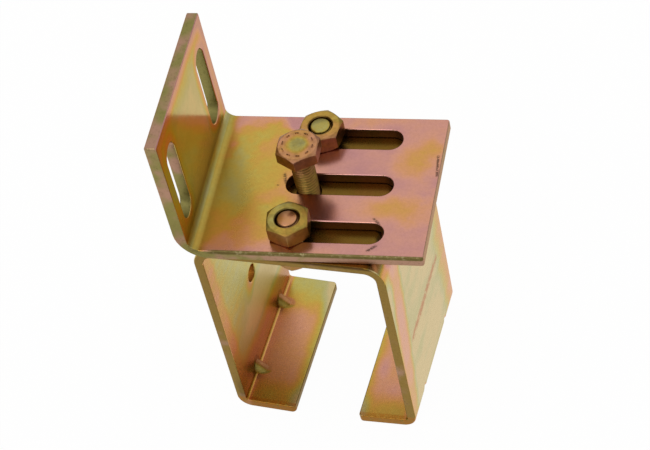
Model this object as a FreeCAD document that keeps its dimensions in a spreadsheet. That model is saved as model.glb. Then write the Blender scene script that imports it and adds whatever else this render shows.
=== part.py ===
"""Adjustable wall bracket: a folded angle plate that carries a folded track sleeve.

The origin is on the face that meets the wall, midway between the two wall slots.
+X leaves the wall, +Y runs along the track and +Z is up. All lengths are in millimetres.
"""
import FreeCAD, Part
import Sketcher
import math
import os

SIZES = {
    "plate_thick": (5.0, "Angle plate: thickness"),
    "plate_width": (76.0, "Angle plate: width along the track"),
    "plate_fold_inside": (4.6, "Angle plate: inside radius of the fold"),
    "plate_fold_outside": (14.0, "Angle plate: outside radius of the fold"),
    "shelf_reach": (102.0, "Shelf: wall face to free edge"),
    "shelf_drop": (29.6, "Shelf: top face below the middle of the wall slots"),
    "shelf_corner": (1.2, "Shelf: corner radius"),
    "shelf_slot_near": (38.6, "Shelf slots: end nearest the wall"),
    "shelf_slot_far": (83.9, "Shelf slots: end nearest the free edge"),
    "slot_width": (11.0, "Slots: width, clear of an M10 thread"),
    "slot_margin": (12.3, "Shelf slots: middle of an outer slot to the plate's side edge"),
    "wall_rise": (60.8, "Wall flange: top edge above the shelf"),
    "wall_corner": (0.8, "Wall flange: corner radius"),
    "wall_slot_length": (40.0, "Wall slots: end to end"),
    "wall_slot_margin": (11.8, "Wall slots: middle to the plate's side edge"),
    "sleeve_thick": (4.0, "Sleeve: thickness"),
    "sleeve_width": (82.5, "Sleeve: outside width"),
    "sleeve_height": (107.0, "Sleeve: outside height, measured at the lip folds"),
    "sleeve_front": (37.5, "Sleeve: clamp hole to front edge"),
    "sleeve_back": (35.0, "Sleeve: clamp hole to back edge"),
    "sleeve_lip": (26.4, "Sleeve: outside width of each lip"),
    "lip_slope": (3.1, "Sleeve: angle each lip falls away from level, in degrees"),
    "sleeve_fold": (5.0, "Sleeve: inside radius of the top folds"),
    "lip_fold_inside": (1.2, "Sleeve: inside radius of the lip folds"),
    "lip_fold_outside": (6.5, "Sleeve: outside radius of the lip folds"),
    "lip_corner": (1.8, "Sleeve: corner radius of the lips"),
    "bolt_hole": (10.6, "Sleeve: holes for the fixing bolts"),
    "clamp_hole": (10.0, "Sleeve: tapped hole for the clamp bolt"),
    "side_hole": (8.0, "Sleeve: hole in the side that faces the wall"),
    "side_hole_drop": (59.4, "Sleeve: side hole below the top face"),
    "rib_pitch": (38.0, "Sleeve: pressed ribs across each lip fold, middle to middle"),
    "rib_radius": (3.3, "Sleeve: radius of a rib's crest"),
    "rib_length": (7.6, "Sleeve: length of a rib's crest"),
    "dent_radius": (2.4, "Sleeve: radius of the dent behind a rib"),
    "dent_length": (14.0, "Sleeve: reach of the dent behind a rib"),
    "hex_flats": (17.0, "Nuts and heads: across flats"),
    "hex_face": (16.2, "Nuts and heads: diameter of the flat end face"),
    "head_height": (6.0, "Bolt heads: height"),
    "nut_height": (8.0, "Nuts: height"),
    "nut_bore": (10.0, "Nuts: bore"),
    "nut_mouth": (10.9, "Nuts: countersunk mouth"),
    "thread_width": (9.8, "Bolts: thread diameter"),
    "tip_width": (7.5, "Bolts: diameter of the chamfered tip"),
    "clamp_length": (30.0, "Clamp bolt: length under the head"),
    "clamp_stand": (17.8, "Clamp bolt: head above the shelf"),
    "sleeve_out": (8.9, "Sleeve: clamp hole from the near end of the shelf slots"),
    "sleeve_turn": (4.9, "Sleeve: angle it is turned on its bolts, in degrees"),
}

HEX_CHAMFER = 30.0
TIP_CHAMFER = 45.0
PAST_HEX_CORNER = 0.62
PAST_TIP_EDGE = 0.55
PAST_MOUTH_EDGE = 0.46
DIAGONAL = math.sqrt(0.5)


class Size:
    """A length with both its value and the sheet expression that drives it."""

    def __init__(self, value, text):
        self.value = value
        self.text = text

    def joined(self, sign, other, value):
        return Size(value, "(%s %s %s)" % (self.text, sign, as_size(other).text))

    def __add__(self, other):
        return self.joined("+", other, self.value + as_size(other).value)

    def __sub__(self, other):
        return self.joined("-", other, self.value - as_size(other).value)

    def __mul__(self, other):
        return self.joined("*", other, self.value * as_size(other).value)

    def __truediv__(self, other):
        return self.joined("/", other, self.value / as_size(other).value)

    def __neg__(self):
        return self * -1.0


def as_size(thing):
    return thing if isinstance(thing, Size) else Size(thing, "(%.9f)" % thing)


def named(alias):
    return Size(SIZES[alias][0], "Sizes." + alias)


def of_angle(name, angle):
    """Sine, cosine or tangent of an angle in degrees."""
    return Size(getattr(math, name)(math.radians(angle.value)), "%s(%s)" % (name, angle.text))


def slot_pitch():
    """Distance from one shelf slot to the next."""
    return named("plate_width") / 2.0 - named("slot_margin")


def sleeve_place():
    """Distance from the wall face to the clamp hole."""
    return named("shelf_slot_near") + named("sleeve_out")


def make_sheet(doc):
    sheet = doc.addObject("Spreadsheet::Sheet", "Sizes")
    for row, (alias, (value, meaning)) in enumerate(SIZES.items(), start=1):
        sheet.set("A%d" % row, meaning)
        sheet.set("B%d" % row, str(value))
        sheet.setAlias("B%d" % row, alias)
    doc.recompute()


def new_body(doc, label):
    body = doc.addObject("PartDesign::Body", label)
    body.Label = label
    return body


def new_sketch(body, name, plane):
    sketch = body.newObject("Sketcher::SketchObject", name)
    support = next(item for item in body.Origin.OriginFeatures if item.Role == plane)
    sketch.AttachmentSupport = (support, [""])
    sketch.MapMode = "FlatFace"
    return sketch


def constrain(sketch, kind, parts, size):
    """Add a dimension to the sketch and bind it to the sheet."""
    index = sketch.addConstraint(Sketcher.Constraint(kind, *parts, size.value))
    sketch.setExpression("Constraints[%d]" % index, size.text)


def place_point(sketch, item, end, across, up):
    """Hold one point of the sketch at a signed distance from the origin each way."""
    for kind, axis, size in (("DistanceX", -2, across), ("DistanceY", -1, up)):
        if size is None:
            continue
        if size.value == 0.0:
            sketch.addConstraint(Sketcher.Constraint("PointOnObject", item, end, axis))
        else:
            constrain(sketch, kind, (-1, 1, item, end), size)


def rounded_outline(sketch, corners):
    """Draw a closed outline; each corner is (across, up, radius of its round or None)."""
    count = len(corners)
    points = [FreeCAD.Vector(across.value, up.value, 0) for across, up, _ in corners]
    ways = [(points[(k + 1) % count] - points[k]).normalize() for k in range(count)]
    trims = [radius.value * math.tan(ways[k - 1].getAngle(ways[k]) / 2) if radius else 0.0
             for k, (_, _, radius) in enumerate(corners)]
    lines = []
    for k in range(count):
        after = (k + 1) % count
        start, stop = points[k] + ways[k] * trims[k], points[after] - ways[k] * trims[after]
        lines.append(sketch.addGeometry(Part.LineSegment(start, stop), False))
    for k, (across, up, radius) in enumerate(corners):
        arriving, leaving = lines[k - 1], lines[k]
        if radius is None:
            sketch.addConstraint(Sketcher.Constraint("Coincident", arriving, 2, leaving, 1))
            place_point(sketch, leaving, 1, across, up)
            continue
        corner = sketch.addGeometry(Part.Point(points[k]), True)
        place_point(sketch, corner, 1, across, up)
        for line in (arriving, leaving):
            sketch.addConstraint(Sketcher.Constraint("PointOnObject", corner, 1, line))
        round_corner(sketch, ways[k - 1], arriving, leaving, radius)


def round_corner(sketch, way, arriving, leaving, radius):
    """Join two lines with an arc that is tangent to both."""
    first, last = sketch.Geometry[arriving].EndPoint, sketch.Geometry[leaving].StartPoint
    side = FreeCAD.Vector(-way.y, way.x, 0)
    turns_left = side.dot(last - first) > 0
    middle = first + side * (radius.value if turns_left else -radius.value)
    from_angle = math.atan2(first.y - middle.y, first.x - middle.x)
    to_angle = math.atan2(last.y - middle.y, last.x - middle.x)
    if not turns_left:
        from_angle, to_angle = to_angle, from_angle
    circle = Part.Circle(middle, FreeCAD.Vector(0, 0, 1), radius.value)
    arc = sketch.addGeometry(Part.ArcOfCircle(circle, from_angle, to_angle), False)
    start, end = (1, 2) if turns_left else (2, 1)
    sketch.addConstraint(Sketcher.Constraint("Tangent", arriving, 2, arc, start))
    sketch.addConstraint(Sketcher.Constraint("Tangent", arc, end, leaving, 1))
    constrain(sketch, "Radius", (arc,), radius)


def add_slot(sketch, ends, width):
    """Draw a slot with round ends; ends are the middles of its two end arcs."""
    radius = width / 2.0
    middles = [FreeCAD.Vector(across.value, up.value, 0) for across, up in ends]
    along = (middles[1] - middles[0]).normalize()
    side = FreeCAD.Vector(-along.y, along.x, 0) * radius.value
    turn = math.atan2(side.y, side.x)
    arcs = []
    for middle, start in zip(middles, (turn, turn - math.pi)):
        circle = Part.Circle(middle, FreeCAD.Vector(0, 0, 1), radius.value)
        arcs.append(sketch.addGeometry(Part.ArcOfCircle(circle, start, start + math.pi), False))
    near = sketch.addGeometry(Part.LineSegment(middles[0] - side, middles[1] - side), False)
    far = sketch.addGeometry(Part.LineSegment(middles[1] + side, middles[0] + side), False)
    for first, second in (((arcs[0], 2), (near, 1)), ((near, 2), (arcs[1], 1)),
                          ((arcs[1], 2), (far, 1)), ((far, 2), (arcs[0], 1))):
        sketch.addConstraint(Sketcher.Constraint("Tangent", *first, *second))
    constrain(sketch, "Radius", (arcs[0],), radius)
    place_point(sketch, arcs[0], 3, *ends[0])
    upright = abs(along.y) > abs(along.x)
    place_point(sketch, arcs[1], 3, None if upright else ends[1][0], ends[1][1] if upright else None)
    sketch.addConstraint(Sketcher.Constraint("Vertical" if upright else "Horizontal", near))


def add_circle(sketch, across, up, width):
    middle = FreeCAD.Vector(across.value, up.value, 0)
    circle = Part.Circle(middle, FreeCAD.Vector(0, 0, 1), width.value / 2.0)
    item = sketch.addGeometry(circle, False)
    constrain(sketch, "Radius", (item,), width / 2.0)
    place_point(sketch, item, 3, across, up)


def add_hexagon(sketch, flats):
    """Draw a regular hexagon about the origin with one corner on the sketch's own x axis."""
    reach = flats / math.sqrt(3.0)
    circle = Part.Circle(FreeCAD.Vector(), FreeCAD.Vector(0, 0, 1), reach.value)
    ring = sketch.addGeometry(circle, True)
    sketch.addConstraint(Sketcher.Constraint("Coincident", ring, 3, -1, 1))
    constrain(sketch, "Radius", (ring,), reach)
    corners = [FreeCAD.Vector(math.cos(math.pi * k / 3), math.sin(math.pi * k / 3), 0) * reach.value
               for k in range(6)]
    lines = [sketch.addGeometry(Part.LineSegment(corners[k], corners[(k + 1) % 6]), False)
             for k in range(6)]
    for index, line in enumerate(lines):
        sketch.addConstraint(Sketcher.Constraint("Coincident", line, 2, lines[(index + 1) % 6], 1))
        sketch.addConstraint(Sketcher.Constraint("PointOnObject", line, 1, ring))
        if index:
            sketch.addConstraint(Sketcher.Constraint("Equal", lines[0], line))
    sketch.addConstraint(Sketcher.Constraint("PointOnObject", lines[0], 1, -1))


def add_bevel(sketch, inner, outer, level, slope):
    """Draw the triangle that bevels an end face at this level between two radii."""
    rise = (outer - inner) * math.tan(math.radians(slope))
    points = ((inner, level), (outer, level), (outer, level + rise))
    vectors = [FreeCAD.Vector(across.value, up.value, 0) for across, up in points]
    lines = [sketch.addGeometry(Part.LineSegment(vectors[k], vectors[(k + 1) % 3]), False)
             for k in range(3)]
    for index, line in enumerate(lines):
        sketch.addConstraint(Sketcher.Constraint("Coincident", line, 2, lines[(index + 1) % 3], 1))
        place_point(sketch, line, 1, *points[index])


def pad(body, sketch, forward, backward=None):
    """Extrude a sketch along its normal, and the other way too if that is given."""
    feature = body.newObject("PartDesign::Pad", sketch.Name + "Pad")
    feature.Profile = sketch
    feature.setExpression("Length", forward.text)
    if backward is not None:
        feature.SideType = "Two sides"
        feature.setExpression("Length2", backward.text)
    sketch.Visibility = False
    body.Document.recompute()
    return feature


def pocket(body, sketch, both_ways=False):
    """Cut a sketch right through, against its normal or both ways."""
    feature = body.newObject("PartDesign::Pocket", sketch.Name + "Pocket")
    feature.Profile = sketch
    feature.Type = "ThroughAll"
    if both_ways:
        feature.SideType = "Symmetric"
    cut(body, feature)
    return feature


def groove(body, sketch):
    """Turn a sketch about the upright axis and cut it away."""
    feature = body.newObject("PartDesign::Groove", sketch.Name + "Groove")
    feature.Profile = sketch
    feature.ReferenceAxis = (sketch, ["V_Axis"])
    feature.Angle = 360.0
    cut(body, feature)
    return feature


def cut(body, feature):
    """Work out a cutting feature and make sure that it took something away."""
    before = feature.BaseFeature.Shape.Volume
    body.Document.recompute()
    if feature.Shape.Volume >= before:
        raise RuntimeError("%s cuts nothing" % feature.Label)


def fillet(body, name, radius, chosen):
    """Round the edges of the body's last feature that the test chosen picks."""
    base = body.Tip
    edges = ["Edge%d" % (index + 1) for index, edge in enumerate(base.Shape.Edges) if chosen(edge)]
    if not edges:
        raise RuntimeError("%s finds no edge" % name)
    feature = body.newObject("PartDesign::Fillet", name)
    feature.Base = (base, edges)
    feature.setExpression("Radius", radius.text)
    body.Document.recompute()
    return feature


def runs_along(edge, axis):
    """Tell whether an edge is straight and runs along this axis: 0, 1 or 2."""
    if not isinstance(edge.Curve, (Part.Line, Part.LineSegment)):
        return False
    first, last = edge.Vertexes[0].Point, edge.Vertexes[-1].Point
    return abs((last - first).normalize()[axis]) > 0.999


def near(value, target):
    return abs(value - target) < 0.01


def set_place(body, across, along, up):
    """Bind a body's position to the sheet."""
    for letter, size in (("x", across), ("y", along), ("z", up)):
        body.setExpression("Placement.Base." + letter, size.text)


def make_angle_bracket(doc):
    """One plate folded to an angle, with slots in the wall flange and in the shelf."""
    body = new_body(doc, "angle_bracket")
    thick, reach, top = named("plate_thick"), named("shelf_reach"), -named("shelf_drop")
    section = new_sketch(body, "AngleSection", "XZ_Plane")
    rounded_outline(section, [
        (as_size(0.0), top - thick, named("plate_fold_outside")),
        (reach, top - thick, None),
        (reach, top, None),
        (thick, top, named("plate_fold_inside")),
        (thick, top + named("wall_rise"), None),
        (as_size(0.0), top + named("wall_rise"), None),
    ])
    half = named("plate_width") / 2.0
    pad(body, section, half, half)
    cut_shelf_slots(body)
    cut_wall_slots(body)
    crest = named("wall_rise").value - named("shelf_drop").value
    fillet(body, "WallCorners", named("wall_corner"),
           lambda edge: runs_along(edge, 0) and near(edge.CenterOfMass.z, crest))
    fillet(body, "ShelfCorners", named("shelf_corner"),
           lambda edge: runs_along(edge, 2) and near(edge.CenterOfMass.x, named("shelf_reach").value))
    return body


def cut_shelf_slots(body):
    """Three slots that run away from the wall: one for the clamp bolt between two for the bolts."""
    sketch = new_sketch(body, "ShelfSlots", "XY_Plane")
    width = named("slot_width")
    near_end = named("shelf_slot_near") + width / 2.0
    far_end = named("shelf_slot_far") - width / 2.0
    for row in (-1, 0, 1):
        along = slot_pitch() * row
        add_slot(sketch, ((near_end, along), (far_end, along)), width)
    pocket(body, sketch)


def cut_wall_slots(body):
    """Two upright slots for the wall fixings, level with the origin."""
    sketch = new_sketch(body, "WallSlots", "YZ_Plane")
    width = named("slot_width")
    half = (named("wall_slot_length") - width) / 2.0
    for side in (-1, 1):
        along = (named("plate_width") / 2.0 - named("wall_slot_margin")) * side
        add_slot(sketch, ((along, -half), (along, half)), width)
    pocket(body, sketch, both_ways=True)


def sleeve_section():
    """Corners of one side of the sleeve's section, from the middle of the top outwards and round.

    Each lip falls away from level by the lip slope, so its free edge is the lowest line.
    """
    thick, slope = named("sleeve_thick"), named("lip_slope")
    half, floor = named("sleeve_width") / 2.0, -named("sleeve_height")
    tip = (half - named("sleeve_lip") * of_angle("cos", slope),
           floor - named("sleeve_lip") * of_angle("sin", slope))
    inner_tip = (tip[0] - thick * of_angle("sin", slope), tip[1] + thick * of_angle("cos", slope))
    inner_fold = inner_tip[1] + (half - thick - inner_tip[0]) * of_angle("tan", slope)
    return [
        (half, as_size(0.0), named("sleeve_fold") + thick),
        (half, floor, named("lip_fold_outside")),
        (tip[0], tip[1], None),
        (inner_tip[0], inner_tip[1], None),
        (half - thick, inner_fold, named("lip_fold_inside")),
        (half - thick, -thick, named("sleeve_fold")),
    ]


def make_track_sleeve(doc):
    """One plate folded to a channel that is open below, with a lip along each side."""
    body = new_body(doc, "track_sleeve")
    side_corners = sleeve_section()
    mirrored = [(-across, up, radius) for across, up, radius in reversed(side_corners)]
    section = new_sketch(body, "SleeveSection", "XZ_Plane")
    rounded_outline(section, side_corners + mirrored)
    pad(body, section, named("sleeve_front"), named("sleeve_back"))
    cut_top_holes(body)
    cut_side_hole(body)
    fold_corner = side_corners[4]
    for side in (-1, 1):
        for row in (-0.5, 0.5):
            press_rib(body, fold_corner, side, named("rib_pitch") * row)
    fillet(body, "LipCorners", named("lip_corner"),
           lambda edge: in_lip_tip(edge, side_corners[2], side_corners[3]))
    set_place(body, sleeve_place(), as_size(0.0), -(named("shelf_drop") + named("plate_thick")))
    body.Placement.Rotation = FreeCAD.Rotation(FreeCAD.Vector(0, 0, -1), named("sleeve_turn").value)
    body.setExpression("Placement.Rotation.Angle", named("sleeve_turn").text)
    return body


def in_lip_tip(edge, tip, inner_tip):
    """Tell whether an edge crosses the sheet at the front or back end of a lip's free edge."""
    middle = edge.CenterOfMass
    across = (tip[0].value + inner_tip[0].value) / 2.0
    up = (tip[1].value + inner_tip[1].value) / 2.0
    ends = (-named("sleeve_front").value, named("sleeve_back").value)
    return near(abs(middle.x), across) and near(middle.z, up) and any(near(middle.y, y) for y in ends)


def bolt_spread():
    """Distance from the clamp hole to a bolt hole, so that turned bolts still sit mid-slot."""
    return slot_pitch() / of_angle("cos", named("sleeve_turn"))


def cut_top_holes(body):
    sketch = new_sketch(body, "TopHoles", "XY_Plane")
    add_circle(sketch, as_size(0.0), as_size(0.0), named("clamp_hole"))
    for row in (-1, 1):
        add_circle(sketch, as_size(0.0), bolt_spread() * row, named("bolt_hole"))
    pocket(body, sketch)


def cut_side_hole(body):
    sketch = new_sketch(body, "SideHole", "YZ_Plane")
    add_circle(sketch, as_size(0.0), -named("side_hole_drop"), named("side_hole"))
    pocket(body, sketch)


def press_rib(body, fold_corner, side, along):
    """A short round rib across a lip fold, with the dent that the punch left behind it."""
    crest = FreeCAD.Vector(-side * DIAGONAL, 0, DIAGONAL)
    run = FreeCAD.Vector(-side * DIAGONAL, 0, -DIAGONAL)
    turn = FreeCAD.Rotation(crest.cross(run), crest, run)
    across, up = fold_corner[0] * side, fold_corner[1]
    back_off = named("sleeve_thick") - named("rib_radius") + named("dent_radius")
    for kind, radius, length, sink in (
            ("Additive", named("rib_radius"), named("rib_length"), as_size(0.0)),
            ("Subtractive", named("dent_radius"), named("dent_length"), back_off)):
        feature = body.newObject("PartDesign::%sCylinder" % kind, "Rib" + kind)
        feature.Placement = FreeCAD.Placement(FreeCAD.Vector(), turn)
        feature.setExpression("Radius", radius.text)
        feature.setExpression("Height", length.text)
        feature.Angle = 180.0 if kind == "Additive" else 360.0
        start = (length / -2.0 * run.x - sink * crest.x + across,
                 along,
                 length / -2.0 * run.z - sink * crest.z + up)
        set_place(feature, *start)
        body.Document.recompute()


def make_hex_bolt(doc, label, length):
    """A fully threaded hex bolt, its bearing face at the body's origin and its tip upwards."""
    body = new_body(doc, label)
    head = new_sketch(body, "Head", "XY_Plane")
    add_hexagon(head, named("hex_flats"))
    head_pad = pad(body, head, named("head_height"))
    head_pad.Reversed = True
    shank = new_sketch(body, "Shank", "XY_Plane")
    add_circle(shank, as_size(0.0), as_size(0.0), named("thread_width"))
    pad(body, shank, length)
    bevels = new_sketch(body, "Bevels", "XZ_Plane")
    add_bevel(bevels, named("hex_face") / 2.0, named("hex_flats") * PAST_HEX_CORNER,
              -named("head_height"), HEX_CHAMFER)
    add_bevel(bevels, named("tip_width") / 2.0, named("thread_width") * PAST_TIP_EDGE,
              length, -TIP_CHAMFER)
    groove(body, bevels)
    return body


def make_hex_nut(doc, label):
    """A hex nut that stands on the body's origin, bevelled and countersunk at both ends."""
    body = new_body(doc, label)
    blank = new_sketch(body, "Blank", "XY_Plane")
    add_hexagon(blank, named("hex_flats"))
    add_circle(blank, as_size(0.0), as_size(0.0), named("nut_bore"))
    pad(body, blank, named("nut_height"))
    bevels = new_sketch(body, "Bevels", "XZ_Plane")
    for level, way in ((as_size(0.0), 1.0), (named("nut_height"), -1.0)):
        add_bevel(bevels, named("hex_face") / 2.0, named("hex_flats") * PAST_HEX_CORNER,
                  level, way * HEX_CHAMFER)
        add_bevel(bevels, named("nut_mouth") / 2.0, named("nut_bore") * PAST_MOUTH_EDGE,
                  level, way * TIP_CHAMFER)
    groove(body, bevels)
    return body


def place_fastener(body, row, up, turn, head_up=False):
    """Stand a fastener in the slot row -1, 0 or 1, its corners turned by an angle in degrees."""
    across = sleeve_place() + slot_pitch() * of_angle("tan", named("sleeve_turn")) * row
    rotation = FreeCAD.Rotation(FreeCAD.Vector(0, 0, 1), turn)
    if head_up:
        rotation = rotation * FreeCAD.Rotation(FreeCAD.Vector(1, 0, 0), 180.0)
    body.Placement = FreeCAD.Placement(FreeCAD.Vector(), rotation)
    set_place(body, across, slot_pitch() * row, up)


def make_fasteners(doc):
    """Two bolts up through the slots, their nuts on the shelf, and the clamp bolt between them."""
    shelf = -named("shelf_drop")
    grip = named("plate_thick") + named("sleeve_thick")
    bodies = []
    for end, row, nut_turn in (("front", -1, -21.4), ("rear", 1, -38.5)):
        bolt = make_hex_bolt(doc, end + "_bolt", grip + named("nut_height"))
        place_fastener(bolt, row, shelf - grip, 30.0)
        nut = make_hex_nut(doc, end + "_nut")
        place_fastener(nut, row, shelf, nut_turn)
        bodies += [bolt, nut]
    clamp = make_hex_bolt(doc, "clamp_bolt", named("clamp_length"))
    place_fastener(clamp, 0, shelf + named("clamp_stand"), 30.0, head_up=True)
    return bodies + [clamp]


def check(doc):
    """Stop if any object failed to compute."""
    for item in doc.Objects:
        if "Invalid" in item.State or "Error" in item.State:
            raise RuntimeError("%s is in a bad state: %s" % (item.Label, item.State))


def export(bodies):
    os.makedirs("parts", exist_ok=True)
    for body in bodies:
        shape = body.Shape
        if shape.isNull() or not shape.isValid() or len(shape.Solids) != 1:
            raise RuntimeError("%s is not one valid solid" % body.Label)
        shape.exportStep("parts/%s.step" % body.Label)
        print("%-14s %9.1f mm3" % (body.Label, shape.Volume))


def main():
    doc = FreeCAD.newDocument("WallBracket")
    make_sheet(doc)
    bodies = [make_angle_bracket(doc), make_track_sleeve(doc)] + make_fasteners(doc)
    doc.recompute()
    check(doc)
    export(bodies)


main()
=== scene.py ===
"""Adjustable wall bracket for a track: an angle plate, the folded sleeve below it, and their bolts.

Lengths are millimetres in the same frame as the solids, and MM turns them into Blender's metres.
"""
import math

import bmesh
import bpy
from bpy.props import FloatProperty, FloatVectorProperty, IntProperty, PointerProperty
from bpy.types import Operator, Panel, PropertyGroup
from mathutils import Euler, Matrix, Quaternion, Vector
from mathutils.bvhtree import BVHTree


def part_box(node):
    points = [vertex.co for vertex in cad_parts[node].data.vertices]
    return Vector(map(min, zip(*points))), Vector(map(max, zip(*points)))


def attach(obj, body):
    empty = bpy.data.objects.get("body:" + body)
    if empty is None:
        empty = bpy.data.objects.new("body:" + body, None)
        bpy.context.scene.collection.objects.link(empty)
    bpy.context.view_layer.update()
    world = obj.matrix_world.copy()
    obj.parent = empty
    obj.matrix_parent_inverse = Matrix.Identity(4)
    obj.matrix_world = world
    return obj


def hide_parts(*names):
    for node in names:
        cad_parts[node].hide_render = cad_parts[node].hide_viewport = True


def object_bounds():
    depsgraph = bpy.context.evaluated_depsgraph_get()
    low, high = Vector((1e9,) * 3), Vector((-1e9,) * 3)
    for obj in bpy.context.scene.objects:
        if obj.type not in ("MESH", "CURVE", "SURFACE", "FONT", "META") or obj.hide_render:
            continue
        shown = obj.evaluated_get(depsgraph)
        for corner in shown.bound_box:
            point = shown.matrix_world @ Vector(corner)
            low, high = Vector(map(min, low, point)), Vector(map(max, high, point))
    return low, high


bl_info = {
    "name": "Wall Bracket",
    "version": (1, 0, 0),
    "blender": (4, 5, 0),
    "location": "3D View > Sidebar > Wall Bracket",
    "description": "Dresses an adjustable wall bracket for a track in yellow zinc",
    "category": "Object",
}

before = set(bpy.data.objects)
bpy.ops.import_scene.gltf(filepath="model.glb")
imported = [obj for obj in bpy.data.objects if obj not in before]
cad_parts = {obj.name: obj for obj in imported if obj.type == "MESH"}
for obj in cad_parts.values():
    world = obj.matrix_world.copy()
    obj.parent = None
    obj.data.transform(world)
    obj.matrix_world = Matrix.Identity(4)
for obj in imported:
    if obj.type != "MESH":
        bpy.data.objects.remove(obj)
CAD_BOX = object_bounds()
MM = 0.001

# Levels and reaches of the angle plate.
SHELF_TOP = -29.6
WALL_TOP = 31.2
HALF_WIDTH = 38.0
# Its slots: their radius, half of their straight part, and where their middles are.
SLOT_RADIUS = 5.5
WALL_SLOT_HALF = 14.5
WALL_SLOT_OFFSET = 26.2
SHELF_SLOT_HALF = 17.15
SHELF_SLOT_OFFSET = 25.7
SHELF_SLOT_MIDDLE = 61.25
# Its flats are split on these lines, which run through all the slots, so that no face has a hole.
SPLIT_ROWS = (-25.95, 0.0, 25.95)
# The sleeve's top, and in the sleeve's own axes its front end, the inside of its walls, its side hole
# and its ribs.
SLEEVE_TOP = -34.6
SLEEVE_FRONT = -36.2
SLEEVE_INSIDE = 37.2
SIDE_HOLE_LEVEL = -59.4
SIDE_HOLE_RADIUS = 4.0
RIB_PLACE = 36.0
# The nuts stand this far off the shelf, so that no two faces share a plane.
SEAT_GAP = 0.02
# A bolt's head has the middle of a side towards +X.
HEAD_TURN = math.radians(30.0)
# The painted shade in a nut's mouth reaches this far from its axis.
MOUTH_REACH = 5.6
# Width, length and height of a dash on a bolt's head.
DASH_SIZE = (0.45, 1.5, 0.5)
# Points round every turned shape.
AROUND = 48

# Tints that darken the zinc where they are multiplied in, in linear values.
GRAIN_TINT = (0.8, 0.79, 0.77)
STAIN_TINT = (0.6, 0.58, 0.62)
PIT_TINT = (0.7, 0.68, 0.66)
# The colours of the painted shade.
BROWN_SHADE = (0.26, 0.2, 0.15)
GREY_SHADE = (0.26, 0.25, 0.3)
# Tints of what the metal reflects at a grazing angle.
WARM_GLANCE = (1.0, 0.84, 0.62)
PALE_GLANCE = (1.0, 0.95, 0.86)

# Patches of the film on the shelf: the middle (out, along), the reach (out, along, up), the change.
SHELF_PATCHES = (
    ((18.0, 20.0), (9.0, 18.0, 5.0), -0.18),
    ((13.0, 3.0), (10.0, 26.0, 6.0), -0.18),
    ((10.0, 20.0), (5.0, 10.0, 5.0), 0.22),
    ((30.0, 19.0), (9.0, 11.0, 5.0), 0.14),
    ((34.0, -8.0), (8.0, 9.0, 5.0), 0.16),
    ((20.0, -8.0), (9.0, 14.0, 5.0), -0.16),
    ((24.0, -22.0), (8.0, 9.0, 5.0), 0.12),
    ((9.0, 36.0), (14.0, 10.0, 6.0), 0.32),
    ((38.0, 36.0), (14.0, 9.0, 5.0), 0.34),
    ((22.0, -38.0), (36.0, 14.0, 5.0), 0.48),
    ((92.0, 15.0), (15.0, 17.0, 4.0), -0.28),
    ((89.0, -12.0), (27.0, 14.0, 4.0), -0.32),
    ((66.0, 36.0), (26.0, 6.0, 4.0), -0.2),
    ((100.0, 2.0), (6.0, 40.0, 4.0), 0.1),
    ((34.0, 40.0), (46.0, 10.0, 4.0), 0.4),
    ((18.0, 33.0), (12.0, 9.0, 5.0), 0.14),
)
# Dark marks on the shelf: from (out, along) to (out, along), and the width.
SHELF_MARKS = (
    ((37.0, 4.8), (38.4, 0.2), 1.2),
    ((35.2, -1.2), (35.4, -1.2), 0.7),
    ((78.8, -18.0), (81.4, -20.8), 1.0),
    ((79.0, -35.0), (81.8, -32.4), 1.2),
    ((100.2, 16.8), (101.2, 6.0), 1.0),
)


def chart(red, green, blue):
    """A colour from a paint chart, each part 0 to 255, in Blender's linear values."""
    parts = (part / 255.0 for part in (red, green, blue))
    return tuple(part / 12.92 if part <= 0.04045 else ((part + 0.055) / 1.055) ** 2.4 for part in parts)


def length(name, description, default, **limits):
    return FloatProperty(name=name, description=description, default=default, unit="NONE",
                         subtype="NONE", **limits)


def colour(name, description, red, green, blue):
    return FloatVectorProperty(name=name, description=description, subtype="COLOR", size=3,
                               min=0.0, max=1.0, default=chart(red, green, blue))


class PlateSizes(PropertyGroup):
    """Sizes of the two folded plates that the solids leave plain, in millimetres."""
    angle_thick: length("Angle thickness", "Thickness of the angle plate", 5.0)
    sleeve_thick: length("Sleeve thickness", "Thickness of the sleeve's plate", 4.0)
    edge_round: length("Edge rounding", "Rounding of the plates' sheared edges", 0.6)
    rib_pitch: length("Rib pitch", "Pressed ribs along a lip fold, middle to middle", 38.0)
    fold_level: length("Fold level", "Lip folds below the sleeve's top", 102.0)
    sleeve_place: length("Sleeve place", "Clamp hole from the wall face", 47.5)
    sleeve_turn: FloatProperty(name="Sleeve turn", description="Angle of the sleeve on its bolts",
                               default=math.radians(4.9), subtype="ANGLE")


class FastenerSizes(PropertyGroup):
    """Sizes of the hex bolts and nuts, in millimetres."""
    pitch: length("Pitch", "Rise of the thread in one turn", 1.5)
    thread_depth: length("Thread depth", "Crest to root of the thread", 0.86)
    thread_width: length("Thread width", "Diameter over the thread's crests", 9.8)
    tip_width: length("Tip width", "Diameter of the flat end of a bolt", 7.5)
    flats: length("Across flats", "Width of a hexagon across its flats", 17.0)
    face_width: length("Face width", "Diameter of the flat end of a hexagon", 16.2)
    head_height: length("Head height", "Height of a bolt's head", 6.0)
    mouth_width: length("Mouth width", "Diameter of a nut's countersunk mouth", 10.9)
    bore_width: length("Bore width", "Diameter of a nut's bore", 10.0)
    edge_round: length("Edge rounding", "Rounding of the hexagon's edges", 0.22)
    dish_width: length("Dish width", "Diameter of the dish in a bolt's head", 10.4)
    dish_depth: length("Dish depth", "Depth of the dish in a bolt's head", 0.45)
    dash_count: IntProperty(name="Dashes", description="Plain dashes round a bolt's head", default=10)
    dash_ring: length("Dash ring", "Diameter of the ring of dashes", 12.8)


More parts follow.
